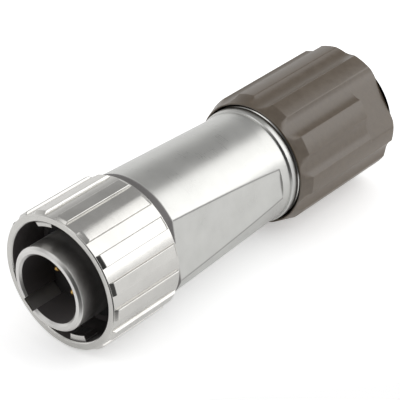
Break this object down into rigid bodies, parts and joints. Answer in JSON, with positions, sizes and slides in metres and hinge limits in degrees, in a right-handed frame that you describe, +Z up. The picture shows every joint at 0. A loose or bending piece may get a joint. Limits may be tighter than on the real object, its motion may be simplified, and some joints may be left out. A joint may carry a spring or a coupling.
{
  "type": "push-pull circular cable plug",
  "caption": "Circular cable plug with a ribbed coupling sleeve that slides back against a spring, pin contacts in a keyed nose, a tapered metal barrel and a plastic cable clamp nut.",
  "frame": {"origin": "on the plug's axis, at the front face of the nose", "axes": "+Y along the axis, from the nose to the cable entry; +Z up as the plug lies on a surface; +X to the side of the barrel's wrench flat"},
  "size_m": [0.02, 0.0615, 0.02],
  "materials": {
    "bright_nickel": "bright nickel plate, lightly brushed",
    "satin_nickel": "satin nickel plate",
    "spring_steel": "plain steel",
    "gold_plate": "gold plate",
    "black_plastic": "black moulded plastic",
    "black_rubber": "black rubber",
    "brown_plastic": "grey-brown moulded plastic, matt"
  },
  "bodies": {
    "shell": {"plug_shell": "bright_nickel", "interface_seal": "black_rubber", "latch_ring": "spring_steel", "front_insulator": "black_plastic", "rear_insulator": "black_plastic", "insulator_clip": "spring_steel", "contact_1": "gold_plate", "contact_2": "gold_plate", "contact_3": "gold_plate", "contact_4": "gold_plate", "shell_o_ring": "black_rubber", "return_spring": "spring_steel", "barrel": "satin_nickel", "gland_o_ring": "black_rubber", "gland_body": "bright_nickel", "shield_ferrule": "spring_steel", "cable_grommet": "black_rubber", "clamp_collet": "black_plastic"},
    "sleeve": {"coupling_sleeve": "bright_nickel", "snap_ring": "spring_steel"},
    "thrust": {"thrust_ring": "black_plastic"},
    "nut": {"clamp_nut": "brown_plastic"}
  },
  "joints": [
    {"name": "sleeve_slide", "type": "slide", "parent": "shell", "child": "sleeve", "axis": [0, 1, 0], "range_m": [0, 0.0013], "stiffness_N_per_m": 800, "springref_m": -0.005, "deforming": ["return_spring"]},
    {"name": "nut_travel", "type": "slide", "parent": "shell", "child": "thrust", "axis": [0, 1, 0], "range_m": [0, 0.003]},
    {"name": "nut_turn", "type": "hinge", "parent": "thrust", "child": "nut", "pos_m": [0, 0.0455, 0], "axis": [0, 1, 0], "range_deg": [0, 1080]}
  ],
  "couplings": [
    {"joint": "nut_turn", "follows": "nut_travel", "rad_per_m": 6283.2}
  ]
}
